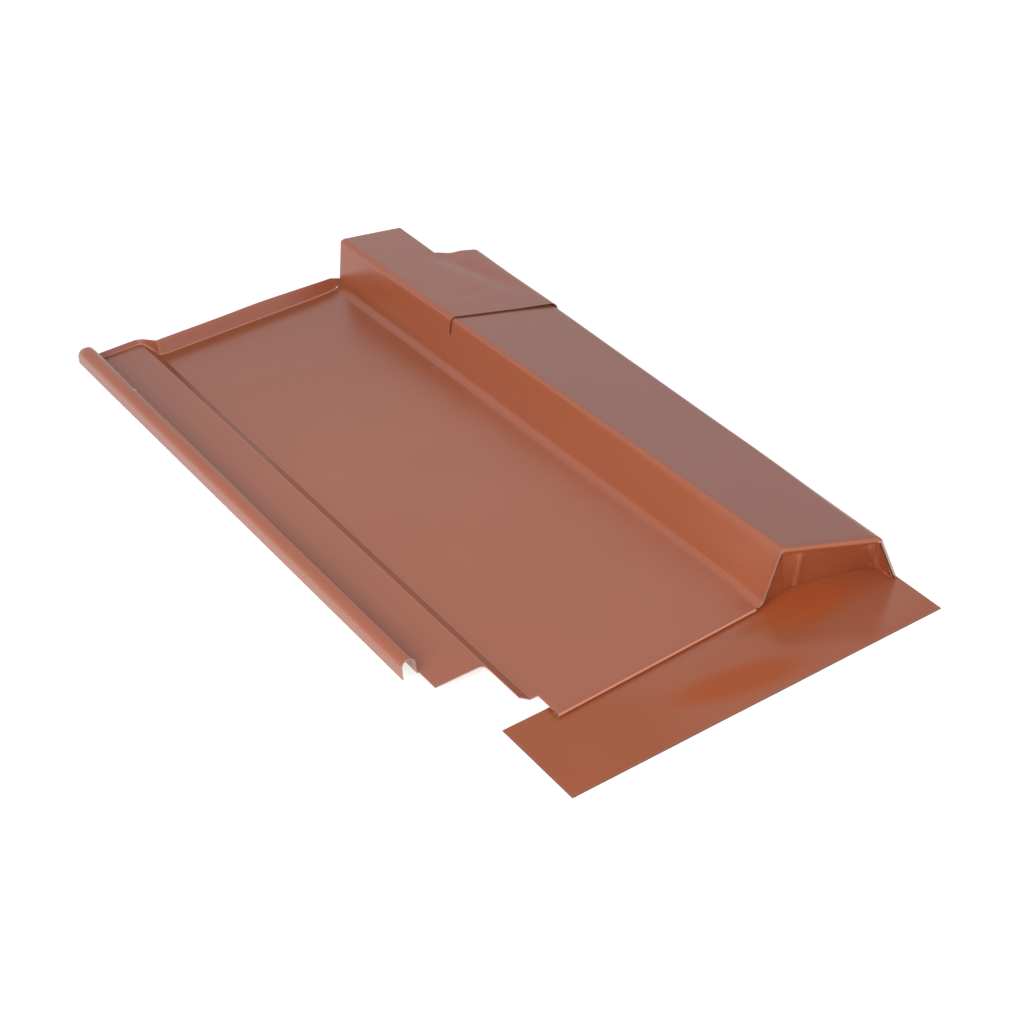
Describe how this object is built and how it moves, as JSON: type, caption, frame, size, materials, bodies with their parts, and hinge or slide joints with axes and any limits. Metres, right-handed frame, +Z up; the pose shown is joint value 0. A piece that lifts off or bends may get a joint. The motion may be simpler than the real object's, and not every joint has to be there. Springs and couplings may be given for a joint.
{
  "type": "metal roofing tile with raised side box",
  "caption": "Pressed sheet-metal roofing tile with a side roll, a flat pan, a raised side box under a lapped saddle cap, a turned-up back edge and a flat front apron.",
  "frame": {"origin": "middle of the footprint, level with the underside of the apron", "axes": "+X across the tile from the side roll to the side box, +Y up the roof slope from the apron to the turned-up back edge, +Z up"},
  "size_m": [0.2556, 0.506, 0.0394],
  "materials": {
    "coated_sheet": "gloss terracotta coating on thin steel sheet"
  },
  "bodies": {
    "root": {"roof_plate": "coated_sheet", "saddle_cap": "coated_sheet", "front_apron": "coated_sheet"}
  },
  "joints": []
}
